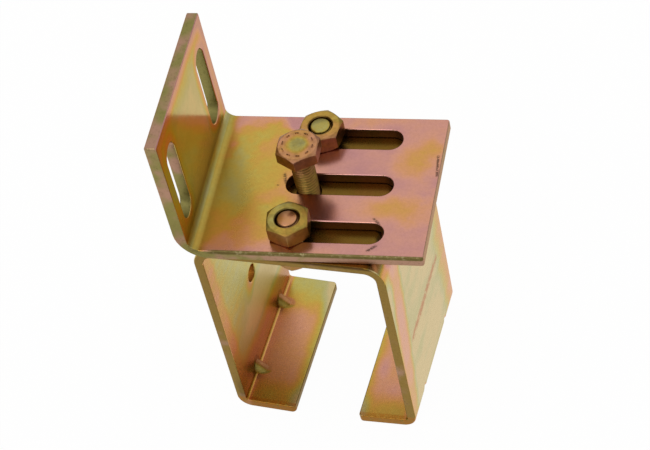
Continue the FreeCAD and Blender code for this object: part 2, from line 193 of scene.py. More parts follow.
class ZincColours(PropertyGroup):
    """Colours of the yellow zinc, from its thinnest film to its thickest."""
    straw: colour("Straw", "Thinnest film, pale khaki", 213, 188, 134)
    sage: colour("Sage", "Grey-green film", 180, 178, 126)
    lime: colour("Lime", "Yellow-green film", 194, 178, 84)
    gold: colour("Gold", "Gold film", 206, 162, 70)
    tan: colour("Tan", "Orange tan film", 216, 154, 100)
    salmon: colour("Salmon", "Salmon pink film", 218, 158, 138)
    mauve: colour("Mauve", "Thickest film, mauve pink", 192, 138, 138)
    olive: colour("Olive", "Sheared edges, olive", 138, 130, 76)
    bronze: colour("Bronze", "Sheared edges, pinkish bronze", 172, 134, 112)
    umber: colour("Umber", "Sheared edges of the sleeve, brownish olive", 144, 116, 56)
    moss: colour("Moss", "Worn rim of an edge, grey-green", 126, 112, 66)
    chalk: colour("Chalk", "Bare specks on a worn rim", 186, 172, 130)
    soot: colour("Soot", "Scratches and dirt", 56, 42, 30)
    rust: colour("Rust", "Red-brown scratches and dirt", 176, 98, 16)


class StageSettings(PropertyGroup):
    """The camera, the floor and the light."""
    camera_place: FloatVectorProperty(name="Camera place", description="Camera in millimetres",
                                      default=(261.70, -551.73, 596.59), size=3)
    camera_aim: FloatVectorProperty(name="Camera aim", description="Middle of the view in millimetres",
                                    default=(50.74, 0.0, -55.77), size=3)
    camera_roll: FloatProperty(name="Camera roll", description="Turn about the line of sight",
                               default=math.radians(-14.045), subtype="ANGLE")
    camera_focal: FloatProperty(name="Focal length", description="Focal length on a 36 mm sensor",
                                default=115.41, subtype="DISTANCE_CAMERA")
    floor_colour: colour("Floor", "Pale floor", 244, 243, 240)
    sky_level: FloatProperty(name="Sky level", description="Strength of the studio overhead", default=0.9)
    rim_level: FloatProperty(name="Rim level", description="Strength of the studio at the horizon",
                             default=0.45)
    box_level: FloatProperty(name="Box level", description="Added strength of the soft box", default=1.4)
    box_way: FloatVectorProperty(name="Box direction", description="Towards the soft box",
                                 default=(-0.24, -0.74, 0.63), size=3)


class Link:
    """A socket of a node tree that works in ordinary arithmetic."""

    def __init__(self, paint, socket):
        self.paint = paint
        self.socket = socket

    def __add__(self, other):
        return self.paint.math("ADD", self, other)

    def __radd__(self, other):
        return self.paint.math("ADD", other, self)

    def __sub__(self, other):
        return self.paint.math("SUBTRACT", self, other)

    def __rsub__(self, other):
        return self.paint.math("SUBTRACT", other, self)

    def __mul__(self, other):
        return self.paint.math("MULTIPLY", self, other)


class Paint:
    """Builds a tree of nodes from expressions."""

    def __init__(self, tree):
        self.tree = tree
        tree.nodes.clear()

    def node(self, kind, settings=None, inputs=None):
        """Add a node, with its settings first and then the values or links of its sockets."""
        made = self.tree.nodes.new(kind)
        for name, value in (settings or {}).items():
            setattr(made, name, value)
        for key, value in (inputs or {}).items():
            if isinstance(value, Link):
                self.tree.links.new(value.socket, made.inputs[key])
            else:
                made.inputs[key].default_value = value
        return made

    def link(self, kind, settings=None, inputs=None, output=0):
        return Link(self, self.node(kind, settings, inputs).outputs[output])

    def math(self, operation, *values, clamped=False):
        return self.link("ShaderNodeMath", {"operation": operation, "use_clamp": clamped},
                         dict(enumerate(values)))

    def vector(self, operation, *values, output=0):
        return self.link("ShaderNodeVectorMath", {"operation": operation}, dict(enumerate(values)), output)

    def parts(self, point):
        """The X, Y and Z of a point."""
        split = self.node("ShaderNodeSeparateXYZ", None, {0: point})
        return [Link(self, socket) for socket in split.outputs]

    def point(self, *parts):
        """A point from its X, Y and Z."""
        return self.link("ShaderNodeCombineXYZ", None, dict(enumerate(parts)))

    def mix(self, first, second, amount, blend="MIX"):
        """Mix two colours by an amount from 0 to 1."""
        colours = {key: value if isinstance(value, Link) else (*value, 1.0)
                   for key, value in ((6, first), (7, second))}
        return self.link("ShaderNodeMix", {"data_type": "RGBA", "blend_type": blend},
                         {0: amount, **colours}, output=2)

    def smooth(self, value, low, high):
        """Rise smoothly from 0 at low to 1 at high, or fall if low is above high."""
        rising = low < high
        ends = (low, high, 0.0, 1.0) if rising else (high, low, 1.0, 0.0)
        return self.link("ShaderNodeMapRange", {"interpolation_type": "SMOOTHSTEP"},
                         {0: value, **dict(enumerate(ends, start=1))})

    def noise(self, point, size, detail=3.0, roughness=0.5, stretch=(1.0, 1.0, 1.0)):
        """Cloudy noise from 0 to 1 with blotches of this size in millimetres."""
        scaled = self.vector("MULTIPLY", point, tuple(1.0 / (size * way) for way in stretch))
        return self.link("ShaderNodeTexNoise", None,
                         {"Vector": scaled, "Scale": 1.0, "Detail": detail, "Roughness": roughness})

    def warped(self, point, size, reach):
        """The point moved about by up to half this reach, so that patches get uneven outlines."""
        scaled = self.vector("MULTIPLY", point, (1.0 / size, 1.0 / size, 1.0 / size))
        wander = self.link("ShaderNodeTexNoise", None, {"Vector": scaled, "Scale": 1.0, "Detail": 3.0}, 1)
        offset = self.vector("SUBTRACT", wander, (0.5, 0.5, 0.5))
        return self.vector("ADD", point, self.vector("MULTIPLY", offset, (reach, reach, 0.0)))

    def ramp(self, value, stops):
        """Turn a value from 0 to 1 into a colour; stops are (place, colour)."""
        made = self.node("ShaderNodeValToRGB", None, {0: value})
        made.color_ramp.interpolation = "B_SPLINE"
        elements = made.color_ramp.elements
        while len(elements) < len(stops):
            elements.new(1.0)
        for element, (place, shade) in zip(elements, stops):
            element.position = place
            element.color = (*shade, 1.0)
        return Link(self, made.outputs[0])

    def patch(self, point, centre, radii):
        """A soft round patch: 1 at its centre and 0 from its radii outwards."""
        offset = self.vector("SUBTRACT", point, centre)
        scaled = self.vector("MULTIPLY", offset, tuple(1.0 / radius for radius in radii))
        return self.smooth(self.vector("LENGTH", scaled, output=1), 1.0, 0.0)

    def stroke(self, point, start, end, width):
        """A straight scratch: 1 on the line between two points and 0 beyond its width."""
        along = Vector(end) - Vector(start)
        offset = self.vector("SUBTRACT", point, start)
        share = self.vector("DOT_PRODUCT", offset, tuple(along / along.length_squared), output=1)
        share = self.math("MULTIPLY", share, 1.0, clamped=True)
        foot = self.vector("SCALE", tuple(along))
        self.tree.links.new(share.socket, foot.socket.node.inputs["Scale"])
        away = self.vector("DISTANCE", offset, foot, output=1)
        return self.smooth(away, width, 0.0)

    def finish(self, shader):
        self.node("ShaderNodeOutputMaterial", None, {0: shader})


def total(base, parts):
    """Sum of a base and of each mask times its amount."""
    for mask, amount in parts:
        base = base + mask * amount
    return base


def slot_gap(paint, across, along, middle_across, middle_along, half):
    """Distance in millimetres from the rim of a slot that runs across, measured outwards."""
    past_end = paint.math("MAXIMUM", paint.math("ABSOLUTE", across - middle_across) - half, 0.0)
    beside = along - middle_along
    return paint.math("SQRT", past_end * past_end + beside * beside) - SLOT_RADIUS


def zinc_material(name, context, tell):
    """Yellow zinc on steel. tell(paint, point) gives what this piece's own finish adds: the film's
    level, the places where it is shaded, marked or rough, and the tint of its cut edges."""
    colours = context.scene.bracket_zinc
    material = bpy.data.materials.new(name)
    material.use_nodes = True
    paint = Paint(material.node_tree)
    place = paint.node("ShaderNodeTexCoord")
    point = paint.vector("MULTIPLY", Link(paint, place.outputs["Object"]), (1.0 / MM, 1.0 / MM, 1.0 / MM))
    own = tell(paint, point)
    # The film's colour goes with its thickness. A fine grain and stains darken it.
    clouds = paint.noise(point, 21.0, detail=2.0) - 0.5
    mottle = paint.noise(point, 5.0, detail=4.0, roughness=0.6) - 0.5
    film = own["film"] + clouds * own["clouds"] + mottle * own.get("mottle", 0.18)
    face = paint.ramp(paint.math("ADD", film, 0.0, clamped=True), (
        (0.0, colours.straw), (0.15, colours.sage), (0.29, colours.lime), (0.44, colours.gold),
        (0.6, colours.tan), (0.8, colours.salmon), (1.0, colours.mauve)))
    grain = paint.noise(point, 1.4, detail=5.0, roughness=0.7)
    face = paint.mix(face, GRAIN_TINT, paint.smooth(grain, 0.35, 0.75) * 0.4, blend="MULTIPLY")
    if "soiled" in own:
        stain = paint.smooth(paint.noise(point, 2.6, detail=4.0, roughness=0.6), 0.4, 0.62)
        face = paint.mix(face, STAIN_TINT, stain * own["soiled"] + 0.3, blend="MULTIPLY")
    # Sheared edges are olive and bronze in turn, with pits.
    cut = paint.link("ShaderNodeAttribute", {"attribute_name": "cut"}, output=2)
    torn = paint.noise(point, 11.0, detail=2.0)
    edge = paint.mix(own.get("edge_colour", colours.olive), colours.bronze,
                     paint.smooth(torn + own.get("edge", 0.0), 0.36, 0.64))
    pits = paint.smooth(paint.noise(point, 1.1, detail=4.0, roughness=0.65), 0.5, 0.7)
    edge = paint.mix(edge, PIT_TINT, pits * 0.7, blend="MULTIPLY")
    skin = paint.mix(face, edge, cut)
    roughness = own["rough"] + (grain - 0.5) * 0.1 + cut * 0.18
    if "rim" in own:
        bare = paint.smooth(paint.noise(point, 2.2, detail=4.0, roughness=0.7), 0.5, 0.75)
        skin = paint.mix(skin, paint.mix(colours.moss, colours.chalk, bare), own["rim"])
        roughness = roughness + own["rim"] * 0.3
    # Painted shade is multiplied in with the piece's shade colour.
    skin = paint.mix(skin, own.get("shade_colour", BROWN_SHADE), own["shade"], blend="MULTIPLY")
    if "marks" in own:
        skin = paint.mix(skin, own.get("mark_colour", colours.soot), own["marks"])
    height = grain * own.get("relief", 0.02) + cut * (torn * 0.2 + pits * 0.25)
    bump = paint.link("ShaderNodeBump", None, {"Strength": 0.35, "Distance": 0.2 * MM, "Height": height})
    shader = paint.node("ShaderNodeBsdfPrincipled", None, {
        "Base Color": skin, "Roughness": roughness, "Metallic": 1.0, "Normal": bump,
        "Specular Tint": (*own.get("glance", WARM_GLANCE), 1.0)})
    paint.finish(Link(paint, shader.outputs[0]))
    return material


def angle_finish(paint, point):
    """The angle plate: lime and gold near the fold, pink with orange gold patches beyond it.
    Places are millimetres out from the wall's face, along it and up."""
    out, along, up = paint.parts(point)
    beside = paint.math("ABSOLUTE", along)
    wall = paint.smooth(out, 7.5, 5.5)
    # Distance to the nearest rim of the wall's face, its slots included.
    nearest = paint.math("MINIMUM", HALF_WIDTH - beside, WALL_TOP - up)
    for row in (-1, 1):
        gap = slot_gap(paint, up, along, 0.0, WALL_SLOT_OFFSET * row, WALL_SLOT_HALF)
        nearest = paint.math("MINIMUM", nearest, gap)
    border = paint.smooth(nearest, 6.5, 0.0)
    rear_end = paint.smooth(along, 18.0, 36.0) * paint.smooth(out, 13.0, 8.0)
    # Round the shelf's slots the film is a little thicker.
    halo = 0.0
    for row, spread in ((-1, 6.0), (0, 6.0), (1, 7.0)):
        gap = slot_gap(paint, out, along, SHELF_SLOT_MIDDLE, SHELF_SLOT_OFFSET * row, SHELF_SLOT_HALF)
        halo = paint.math("MAXIMUM", halo, paint.smooth(gap, spread, 0.0))
    shelf = paint.smooth(out, 32.0, 58.0) * 0.42 + 0.42
    spot = paint.warped(point, 13.0, 22.0)
    film = shelf + (0.04 - shelf) * wall
    for middle, radii, change in SHELF_PATCHES:
        film = film + paint.patch(spot, (*middle, SHELF_TOP), radii) * change
    film = total(film, [
        (halo * paint.smooth(out, 8.0, 10.0), 0.07),
        (rear_end, 0.2),
        (wall * border, 0.6),
        (wall * paint.smooth(along, 30.0, 34.0), 0.16),
        (wall * paint.smooth(up, 14.0, 28.0), 0.3),
        (wall * paint.smooth(up, 4.0, -18.0) * paint.smooth(along, -4.0, -28.0), 0.2),
        (wall * border * paint.smooth(up, 28.0, 12.0) * paint.smooth(along, 0.0, -20.0), -0.36),
    ])
    # The inside of the fold, from the wall down: a hollow with its own film, brightened by painted light,
    # the fold with its own film and some painted shade, and a trough with painted shade.
    upper = paint.smooth(up, -30.3, -29.8)
    fold = paint.smooth(out, 6.4, 6.8) * paint.smooth(out, 13.0, 6.8) * upper
    trough = paint.smooth(out, 6.9, 8.4) * paint.smooth(out, 15.0, 8.8) * upper
    hollow = paint.smooth(out, 5.02, 5.2) * paint.smooth(out, 6.8, 6.4) * upper
    film = film + fold * (0.32 - film) + hollow * (0.22 - film)
    # Dark scratches break up into specks. One front corner of the fold is painted darker, and the front rim
    # is rubbed.
    marks = 0.0
    for start, end, width in SHELF_MARKS:
        mark = paint.stroke(point, (*start, SHELF_TOP), (*end, SHELF_TOP), width)
        marks = paint.math("MAXIMUM", marks, mark)
    speck = paint.smooth(paint.noise(point, 0.9, detail=2.0), 0.36, 0.52)
    corner = paint.patch(point, (10.0, -37.0, -27.0), (4.5, 2.4, 4.0))
    rim = paint.smooth(along, -36.9, -37.5) * paint.smooth(up, -31.6, -31.0) * paint.smooth(out, 10.0, 16.0)
    # Painted shade goes into the shelf's slots and below the shelf, where little light comes.
    inside = paint.smooth(up, -29.7, -30.6) * paint.smooth(beside, 36.0, 35.0)
    inside = inside * paint.smooth(out, 100.0, 99.0)
    # Painted shade: a little over the wall's flat face, some on the fold and more in the trough; the hollow
    # is brightened by painted light.
    flat = wall * paint.smooth(nearest, 0.1, 0.6)
    shade = total(flat * 0.24, [(inside, 0.8), (fold, 0.12), (trough, 0.16), (hollow, -0.2)])
    rough = total(0.23 - wall * 0.09, [
        (paint.smooth(out, 30.0, 12.0) * (1.0 - wall), 0.1),
        (fold + hollow, 0.1),
        (wall * paint.smooth(up, -4.0, -20.0), 0.18),
    ])
    in_slot = wall * paint.smooth(beside, 37.0, 35.0) * paint.smooth(up, 28.0, 22.0)
    front_slot = paint.smooth(along, -10.0, -20.0) * paint.smooth(up, -14.0, -7.0)
    front_end = wall * paint.smooth(along, -36.5, -37.9)
    edge = paint.smooth(out, 30.0, 80.0) * 0.2 - front_end * 0.09 - in_slot * (0.3 - front_slot * 0.3)
    return {"film": film, "clouds": 0.42, "shade": shade, "rough": rough, "rim": rim, "edge": edge,
            "marks": paint.math("MAXIMUM", marks * speck * 0.8, corner * 0.6)}


def sleeve_finish(paint, point):
    """The sleeve: pale gold walls with streaks along the track, pink near the edges, deep folds.
    Places are millimetres in the sleeve's own axes, from the middle of its top."""
    sizes = bpy.context.scene.bracket_plates
    colours = bpy.context.scene.bracket_zinc
    own = paint.link("ShaderNodeMapping", {"vector_type": "TEXTURE"}, {
        0: point, 1: (sizes.sleeve_place, 0.0, SLEEVE_TOP), 2: (0.0, 0.0, -sizes.sleeve_turn)})
    across, along, up = paint.parts(own)
    streaks = paint.noise(own, 5.0, detail=3.0, stretch=(1.0, 7.0, 1.0)) - 0.5
    bands = paint.noise(own, 16.0, detail=1.0, stretch=(1.0, 5.0, 1.0)) - 0.5
    wide = paint.math("ABSOLUTE", across)
    wall = paint.smooth(wide, 34.0, 37.0) * paint.smooth(up, -104.0, -99.0)
    outer = paint.smooth(wide, 38.5, 40.5)
    left = paint.smooth(across, -30.0, -34.0) * (1.0 - outer) * wall
    right = paint.smooth(across, 38.5, 40.5) * wall
    from_front = along - SLEEVE_FRONT
    strip = paint.smooth(paint.math("ABSOLUTE", from_front - 12.0 - up * 0.12), 9.5, 2.0)
    strip = strip * (paint.smooth(up, -104.0, -60.0) * 0.3 + 0.7)
    lip = paint.smooth(up, -98.0, -102.0) * paint.smooth(wide, 37.0, 34.0)
    left_lip = lip * paint.smooth(across, 0.0, -5.0)
    covered = paint.smooth(up, -2.0, -0.5) * paint.smooth(wide, 41.0, 38.0)
    cool = paint.smooth(paint.math("ABSOLUTE", up + 76.0), 18.0, 2.0) * paint.smooth(along, -38.0, 2.0)
    low = paint.smooth(up, -82.0, -95.0)
    clouded = paint.noise(own, 14.0, detail=3.0) - 0.5
    crease = (paint.smooth(paint.math("ABSOLUTE", wide - 36.9), 0.9, 0.3)
              * paint.smooth(paint.math("ABSOLUTE", up + 102.7), 1.0, 0.4))
    film = total(0.7 + streaks * wall * 0.4 + bands * right * 0.5, [
        (wall, -0.64),
        (left, 0.21),
        (left * paint.smooth(from_front, 9.0, 3.0) * paint.smooth(up, -98.0, -70.0), 0.3),
        (left * cool, -0.42),
        (left * low, 0.3),
        (right * strip, 0.68),
        (right * paint.smooth(along, 16.0, 36.0), 0.55),
        (right * paint.patch(own, (40.5, -34.0, -3.0), (6.0, 14.0, 16.0)), 0.6),
        (left * paint.patch(own, (-SLEEVE_INSIDE, -3.0, -62.0), (3.0, 8.0, 8.0)), 0.42),
        (left * paint.patch(own, (-SLEEVE_INSIDE, -8.0, -68.0), (3.0, 6.0, 7.0)), 0.12),
        (lip * paint.smooth(wide, 21.0, 13.0), -0.4),
        (left_lip * paint.smooth(along + clouded * 16.0, 6.0, 32.0), -0.44),
        (lip * paint.smooth(along, -22.0, -33.0), -0.26),
        (lip * paint.patch(own, (19.0, -10.0, -104.2), (6.0, 11.0, 5.0)), 0.24),
        (lip * paint.patch(own, (28.0, -22.0, -104.0), (7.0, 9.0, 5.0)), 0.1),
        (left_lip * paint.patch(own, (-30.0, 4.0, -103.0), (11.0, 30.0, 8.0)), 0.1),
        (left_lip, -0.05),
        (covered, -0.3),
        (crease, -0.22),
    ])
    # The pressed ribs: painted light on their tops, painted shade on their front flanks, and a painted
    # shadow in front of them.
    beside = along - paint.math("SIGN", along) * (sizes.rib_pitch / 2.0)
    corner = paint.point(wide, beside * 1.4, up)
    rib = paint.smooth(paint.vector("DISTANCE", corner, (35.0, 0.0, -100.6), output=1), 6.0, 5.0)
    flank = paint.smooth(beside, -0.2, -1.8)
    rib_shadow = paint.patch(corner, (36.0, -6.6, -101.5), (5.0, 4.6, 5.5)) * (1.0 - rib)
    film = film + rib * (0.6 - flank * 0.32 - film)
    # The long scratch wavers and breaks off as it runs along the right wall.
    wave = (paint.noise(own, 4.0, detail=3.0) - 0.5) * 4.2
    swayed = paint.point(across, along, up + wave)
    broken = paint.smooth(paint.noise(own, 1.7, detail=3.0), 0.32, 0.48)
    scratch = paint.stroke(swayed, (41.2, 21.0, -62.2), (41.2, -21.0, -64.2), 3.2) * broken
    # The side hole and the front ends of the lips have the same red-brown.
    from_hole = paint.vector("SUBTRACT", own, (0.0, 0.0, SIDE_HOLE_LEVEL))
    hole_reach = paint.vector("LENGTH", paint.vector("MULTIPLY", from_hole, (0.0, 1.0, 1.0)), output=1)
    bore = paint.smooth(hole_reach, SIDE_HOLE_RADIUS + 0.15, SIDE_HOLE_RADIUS - 0.05)
    bore = bore * paint.smooth(across, -30.0, -34.0)
    burr = paint.smooth(along, -34.8, -35.7) * paint.smooth(up, -100.0, -102.0) * broken
    marks = paint.math("MAXIMUM", paint.math("MAXIMUM", scratch * 0.9, bore * 0.7), burr * 0.4)
    front_lip = lip * paint.smooth(along, 4.0, -26.0)
    # Painted shade under the shelf, in the ribs' shadow and on their front flanks, low on the inner left
    # wall and at the front of the left lip.
    shade = total(covered * 0.92, [(rib_shadow, 0.45), (rib * flank, 0.2), (left * low, 0.42),
                                   (left_lip * front_lip, 0.3)])
    return {"film": film, "clouds": 0.3, "shade": shade, "marks": marks, "mark_colour": colours.rust,
            "edge": -0.17, "edge_colour": colours.umber, "relief": 0.0, "glance": PALE_GLANCE,
            "rough": total(0.28, [(rib, 0.22), (left * cool, 0.12)])}


def turned_finish(middle, top, film, inner_film, thread_top=None, thread_shade=0.9, side_shade=0.44,
                  side_film=0.0, clouds=0.7, soiled=0.5):
    """The finish of a nut or a bolt: a film for its rim and one for its middle, and painted shade on its
    sides, which are browner below its top, and on the bevelled rim; the dashes' tops are darkened too.
    A bolt's thread gets painted shade below thread_top, and a nut gets painted shade in its mouth instead."""
    def tell(paint, point):
        offset = paint.vector("SUBTRACT", point, (*middle, 0.0))
        flat = paint.vector("MULTIPLY", offset, (1.0, 1.0, 0.0))
        reach = paint.vector("LENGTH", flat, output=1)
        up = paint.parts(point)[2]
        inner = paint.smooth(reach, 6.0, 2.5)
        # Painted shade in a nut's mouth, or over a bolt's thread and darkest at its roots.
        if thread_top is None:
            recess_shade = paint.smooth(reach, MOUTH_REACH, MOUTH_REACH - 0.2)
        else:
            threaded = paint.smooth(up, thread_top, thread_top - 0.3)
            recess_shade = threaded * (paint.smooth(reach, 5.0, 4.3) * 0.4 + 0.6)
        # Painted shade on the sides below the top and on the bevelled rim; the dashes' tops above it are
        # darkened.
        below = paint.smooth(up, top - 0.1, top - 0.9)
        rim = paint.smooth(reach, 7.7, 8.3)
        above = paint.smooth(up, top + 0.04, top + 0.14)
        side = paint.math("MAXIMUM", below * side_shade, rim * 0.34)
        side = paint.math("MAXIMUM", side, above * 0.6)
        return {"film": film + inner * (inner_film - film) + below * side_film,
                "clouds": clouds, "mottle": 0.3, "soiled": soiled, "rough": 0.33,
                "shade": paint.math("MAXIMUM", recess_shade * thread_shade, side),
                "shade_colour": GREY_SHADE, "glance": PALE_GLANCE}
    return tell


def piece_object(name, mesh, material):
    """Make a finished piece's object, with smooth faces, at the origin."""
    mesh.materials.clear()
    mesh.materials.append(material)
    mesh.shade_smooth()
    piece = bpy.data.objects.new(name, mesh)
    bpy.context.scene.collection.objects.link(piece)
    return piece


def settle(piece):
    """Turn a piece with its modifiers into a plain mesh."""
    bpy.context.view_layer.update()
    shaped = piece.evaluated_get(bpy.context.evaluated_depsgraph_get())
    mesh = bpy.data.meshes.new_from_object(shaped)
    piece.modifiers.clear()
    piece.data = mesh
    return piece


def round_edges(piece, width, by_weight=False):
    """Round a piece's sharp edges, or only its marked ones, by this many millimetres."""
    bevel = piece.modifiers.new("Round", "BEVEL")
    bevel.width = width * MM
    bevel.segments = 3
    bevel.limit_method = "WEIGHT" if by_weight else "ANGLE"
    bevel.angle_limit = math.radians(28.0)
    bevel.use_clamp_overlap = False
    normals = piece.modifiers.new("Level flats", "WEIGHTED_NORMAL")
    normals.mode = "FACE_AREA"
    normals.weight = 50
    normals.keep_sharp = True
    return settle(piece)


def mesh_from(shell, name):
    """Turn a finished bmesh into a mesh, and free it."""
    mesh = bpy.data.meshes.new(name)
    shell.to_mesh(mesh)
    shell.free()
    return mesh


def taken_mesh(piece):
    """Remove a piece's object and give the mesh that it held."""
    mesh = piece.data
    bpy.data.objects.remove(piece)
    return mesh


def inner_point(face, loops):
    """The middle of a face's largest triangle, which always lies on the face."""
    triangles = [[loop.vert.co for loop in triple] for triple in loops]
    largest = max(triangles, key=lambda points: (points[1] - points[0]).cross(points[2] - points[0]).length)
    return sum(largest, Vector()) / 3.0


def mark_cut_faces(shell, thick, spared):
    """Note on each face whether it is a sheared edge: its inward ray runs on beyond the plate.
    Faces near the spared points, which are the pressed ribs, don't count as one."""
    inset = 0.01 * MM
    beyond = thick * 1.2 * MM
    rib_reach = 9.0 * MM
    cut = shell.faces.layers.float.new("cut")
    tree = BVHTree.FromBMesh(shell)
    triangles = {}
    for triple in shell.calc_loop_triangles():
        triangles.setdefault(triple[0].face, []).append(triple)
    for face in shell.faces:
        point = inner_point(face, triangles[face])
        hit = tree.ray_cast(point - face.normal * inset, -face.normal)
        through = hit[3] is None or hit[3] > beyond
        near_rib = any((point - middle).length < rib_reach for middle in spared)
        face[cut] = 1.0 if through and not near_rib else 0.0
    return cut


def weigh_edges(shell, cut):
    """Mark the rims of the sheared edges for rounding, and keep the other steep edges sharp."""
    steep = math.radians(30.0)
    weight = shell.edges.layers.float.new("bevel_weight_edge")
    for edge in shell.edges:
        if edge.calc_face_angle() > steep:
            rim = max(face[cut] for face in edge.link_faces) > 0.5
            edge[weight] = 1.0 if rim else 0.0
            edge.smooth = rim


def dressed_plate(node, name, thick, material, width, lines=(), spared=()):
    """A copy of a plate's solid with its flats joined up and its sheared edges rounded.
    Each line is a point and a direction in plan: flats are split there, so that none has a hole."""
    same_point = 0.002 * MM
    on_line = 0.005 * MM
    nearly_flat = math.radians(0.4)
    shell = bmesh.new()
    shell.from_mesh(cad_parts[node].data)
    bmesh.ops.remove_doubles(shell, verts=shell.verts, dist=same_point)
    for point, across in lines:
        everything = [*shell.verts, *shell.edges, *shell.faces]
        made = bmesh.ops.bisect_plane(shell, geom=everything, dist=on_line,
                                      plane_co=Vector(point) * MM, plane_no=across)
        for part in made["geom_cut"]:
            if isinstance(part, bmesh.types.BMEdge):
                part.seam = True
    bmesh.ops.dissolve_limit(shell, angle_limit=nearly_flat, verts=shell.verts, edges=shell.edges,
                             delimit={"SEAM"})
    weigh_edges(shell, mark_cut_faces(shell, thick, spared))
    piece = piece_object(name, mesh_from(shell, name), material)
    return round_edges(piece, width, by_weight=True)


def hexagon_reach(angle, flats):
    """Distance from a hexagon's middle to its side at this angle, with a corner on angle 0."""
    return flats / 2.0 / math.cos(angle % (math.pi / 3) - math.pi / 6)


def ringed_mesh(name, rings):
    """Join rings into a closed shell; each ring gives (radius, height) at an angle."""
    shell = bmesh.new()
    loops = []
    for ring in rings:
        loop = []
        for step in range(AROUND):
            angle = math.tau * step / AROUND
            radius, height = ring(angle)
            loop.append(shell.verts.new((radius * math.cos(angle), radius * math.sin(angle), height)))
        loops.append(loop)
    for low, high in zip(loops, loops[1:]):
        for step in range(AROUND):
            after = (step + 1) % AROUND
            shell.faces.new((low[step], low[after], high[after], high[step]))
    bmesh.ops.remove_doubles(shell, verts=shell.verts, dist=1e-5)
    bmesh.ops.dissolve_limit(shell, angle_limit=math.radians(0.2), verts=shell.verts, edges=shell.edges)
    bmesh.ops.recalc_face_normals(shell, faces=shell.faces)
    return mesh_from(shell, name)


def plain_ring(radius, height):
    return lambda angle: (radius, height)


def bevelled_rings(sizes, level, way):
    """The two rings of a hexagon's bevelled end: the corner line of the sides and the flat's rim."""
    slope = math.tan(math.radians(30.0))
    rim = sizes.face_width / 2.0

    def side(angle):
        reach = hexagon_reach(angle, sizes.flats)
        return reach, level - way * (reach - rim) * slope
    return [side, plain_ring(rim, level)]


def head_mesh(name, sizes):
    """A bolt's head, from its bearing face at height 0 up to a dished top, without its dashes."""
    high = sizes.head_height
    dish = sizes.dish_width / 2.0
    rings = [plain_ring(0.0, 0.0), lambda angle: (hexagon_reach(angle, sizes.flats), 0.0)]
    rings += bevelled_rings(sizes, high, 1.0)
    for share in (1.0, 0.85, 0.7, 0.5, 0.25, 0.0):
        sunk = sizes.dish_depth * (0.5 + 0.5 * math.cos(math.pi * share))
        rings.append(plain_ring(dish * share, high - sunk))
    return ringed_mesh(name, rings)


def nut_mesh(name, sizes, high):
    """A nut that stands on height 0, bevelled and countersunk at both ends."""
    mouth = sizes.mouth_width / 2.0
    bore = sizes.bore_width / 2.0
    rings = [plain_ring(bore, mouth - bore), plain_ring(mouth, 0.0)]
    rings += reversed(bevelled_rings(sizes, 0.0, -1.0))
    rings += bevelled_rings(sizes, high, 1.0)
    rings += [plain_ring(mouth, high), plain_ring(bore, high - mouth + bore),
              plain_ring(bore, mouth - bore)]
    return ringed_mesh(name, rings)


def stand(mesh, middle, turn, flipped=False):
    """Put a mesh made in millimetres about the origin in its place, in metres."""
    spin = Euler((math.pi if flipped else 0.0, 0.0, turn)).to_matrix().to_4x4()
    mesh.transform(Matrix.Scale(MM, 4) @ Matrix.Translation(middle) @ spin)
    mesh.update()


def node_middle(node):
    """Middle, lowest and highest level of a solid, in millimetres."""
    low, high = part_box(node)
    middle = (low + high) / (2.0 * MM)
    return middle.x, middle.y, low.z / MM, high.z / MM


class GeometryTree(Paint):
    """Builds a geometry node tree with named inputs."""

    def __init__(self, name):
        super().__init__(bpy.data.node_groups.new(name, "GeometryNodeTree"))
        self.tree.interface.new_socket("Geometry", in_out="OUTPUT", socket_type="NodeSocketGeometry")
        self.inputs = {}
        self.entry = self.tree.nodes.new("NodeGroupInput")

    def size(self, name, kind="NodeSocketFloat"):
        """Add a named input and give its socket inside the tree."""
        item = self.tree.interface.new_socket(name, in_out="INPUT", socket_type=kind)
        self.inputs[name] = item.identifier
        return Link(self, self.entry.outputs[name])

    def finish_in(self, geometry, material):
        """End the tree with real geometry in this material."""
        solid = self.link("GeometryNodeRealizeInstances", None, {0: geometry})
        painted = self.link("GeometryNodeSetMaterial", None, {"Geometry": solid, "Material": material})
        self.node("NodeGroupOutput", None, {0: painted})

    def apply(self, piece, values):
        """Run the tree on a piece with these input values, and keep the result as its mesh."""
        modifier = piece.modifiers.new(self.tree.name, "NODES")
        modifier.node_group = self.tree
        for name, value in values.items():
            modifier[self.inputs[name]] = value
        return settle(piece)


